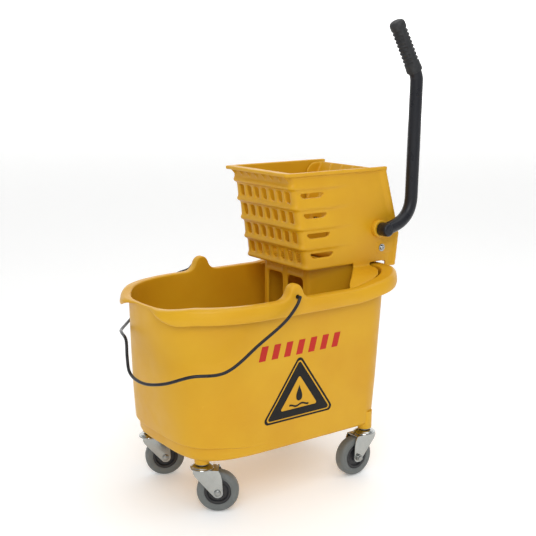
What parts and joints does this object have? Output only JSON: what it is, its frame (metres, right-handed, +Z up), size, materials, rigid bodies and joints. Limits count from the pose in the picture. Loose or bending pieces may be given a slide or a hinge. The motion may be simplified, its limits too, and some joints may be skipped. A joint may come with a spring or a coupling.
{
  "type": "mop bucket with side-press wringer",
  "caption": "Rolling mop bucket on swivel casters with a wire bail and a lever-worked side-press wringer that hangs on the rear rim.",
  "frame": {"origin": "middle of the whole object's footprint, on the floor", "axes": "+Z up, +X towards the wringer end, -X towards the pouring spout, -Y towards the lever side"},
  "size_m": [0.5892, 0.378, 0.8689],
  "materials": {
    "yellow_plastic": "satin moulded",
    "black_paint": "gloss",
    "black_rubber": "matte",
    "black_nylon": "satin",
    "grey_tyre": "matte",
    "chrome_steel": "bright",
    "zinc_steel": "zinc plated",
    "white_nylon": "satin"
  },
  "bodies": {
    "bucket": {"bucket": "yellow_plastic", "caster_stem_near_spout": "zinc_steel", "caster_stem_far_spout": "zinc_steel", "caster_stem_near_rear": "zinc_steel", "caster_stem_far_rear": "zinc_steel"},
    "wringer": {"wringer_basket": "yellow_plastic", "wringer_rear_cover": "yellow_plastic", "wringer_housing": "yellow_plastic", "shaft_bush_near": "yellow_plastic", "shaft_bush_far": "yellow_plastic", "plate_pivot_rod": "zinc_steel", "side_screw_near": "chrome_steel", "side_screw_far": "chrome_steel"},
    "lever": {"lever_tube": "black_paint", "lever_socket": "black_paint", "lever_grip": "black_rubber", "press_shaft": "zinc_steel", "shaft_retainer": "black_nylon", "shaft_gear_near": "white_nylon", "shaft_gear_far": "white_nylon"},
    "press_plate": {"press_plate": "yellow_plastic", "plate_gear_near": "white_nylon", "plate_gear_far": "white_nylon"},
    "bail": {"bail_wire": "black_paint"},
    "fork_near_spout": {"caster_fork_near_spout": "chrome_steel", "caster_axle_near_spout": "zinc_steel", "caster_nut_near_spout": "zinc_steel"},
    "wheel_near_spout": {"caster_tyre_near_spout": "grey_tyre", "caster_hub_near_spout": "black_nylon"},
    "fork_far_spout": {"caster_fork_far_spout": "chrome_steel", "caster_axle_far_spout": "zinc_steel", "caster_nut_far_spout": "zinc_steel"},
    "wheel_far_spout": {"caster_tyre_far_spout": "grey_tyre", "caster_hub_far_spout": "black_nylon"},
    "fork_near_rear": {"caster_fork_near_rear": "chrome_steel", "caster_axle_near_rear": "zinc_steel", "caster_nut_near_rear": "zinc_steel"},
    "wheel_near_rear": {"caster_tyre_near_rear": "grey_tyre", "caster_hub_near_rear": "black_nylon"},
    "fork_far_rear": {"caster_fork_far_rear": "chrome_steel", "caster_axle_far_rear": "zinc_steel", "caster_nut_far_rear": "zinc_steel"},
    "wheel_far_rear": {"caster_tyre_far_rear": "grey_tyre", "caster_hub_far_rear": "black_nylon"}
  },
  "joints": [
    {"name": "wringer_lift", "type": "slide", "parent": "bucket", "child": "wringer", "axis": [0, 0, 1], "range_m": [0, 0.3]},
    {"name": "lever_pull", "type": "hinge", "parent": "wringer", "child": "lever", "pos_m": [0.21219, -0.00014, 0.474], "axis": [0, 1, 0], "range_deg": [0, 85]},
    {"name": "plate_swing", "type": "hinge", "parent": "wringer", "child": "press_plate", "pos_m": [0.13205, -0.00014, 0.42115], "axis": [0, 1, 0], "range_deg": [-42.5, 0]},
    {"name": "bail_swing", "type": "hinge", "parent": "bucket", "child": "bail", "pos_m": [-0.03881, -0.00014, 0.386], "axis": [0, 1, 0], "range_deg": [0, 105]},
    {"name": "swivel_near_spout", "type": "hinge", "parent": "bucket", "child": "fork_near_spout", "pos_m": [-0.19581, -0.09574, 0.08], "axis": [0, 0, 1], "continuous": true},
    {"name": "roll_near_spout", "type": "hinge", "parent": "fork_near_spout", "child": "wheel_near_spout", "pos_m": [-0.17315, -0.11219, 0.038], "axis": [0.5878, 0.809, 0], "continuous": true},
    {"name": "swivel_far_spout", "type": "hinge", "parent": "bucket", "child": "fork_far_spout", "pos_m": [-0.19581, 0.09546, 0.08], "axis": [0, 0, 1], "continuous": true},
    {"name": "roll_far_spout", "type": "hinge", "parent": "fork_far_spout", "child": "wheel_far_spout", "pos_m": [-0.17003, 0.08452, 0.038], "axis": [0.3907, 0.9205, 0], "continuous": true},
    {"name": "swivel_near_rear", "type": "hinge", "parent": "bucket", "child": "fork_near_rear", "pos_m": [0.15619, -0.13174, 0.08], "axis": [0, 0, 1], "continuous": true},
    {"name": "roll_near_rear", "type": "hinge", "parent": "fork_near_rear", "child": "wheel_near_rear", "pos_m": [0.12819, -0.13174, 0.038], "axis": [0, -1, 0], "continuous": true},
    {"name": "swivel_far_rear", "type": "hinge", "parent": "bucket", "child": "fork_far_rear", "pos_m": [0.15619, 0.13146, 0.08], "axis": [0, 0, 1], "continuous": true},
    {"name": "roll_far_rear", "type": "hinge", "parent": "fork_far_rear", "child": "wheel_far_rear", "pos_m": [0.12928, 0.12375, 0.038], "axis": [0.2756, -0.9613, 0], "continuous": true}
  ],
  "couplings": [
    {"joint": "plate_swing", "follows": "lever_pull", "ratio": -0.5}
  ]
}
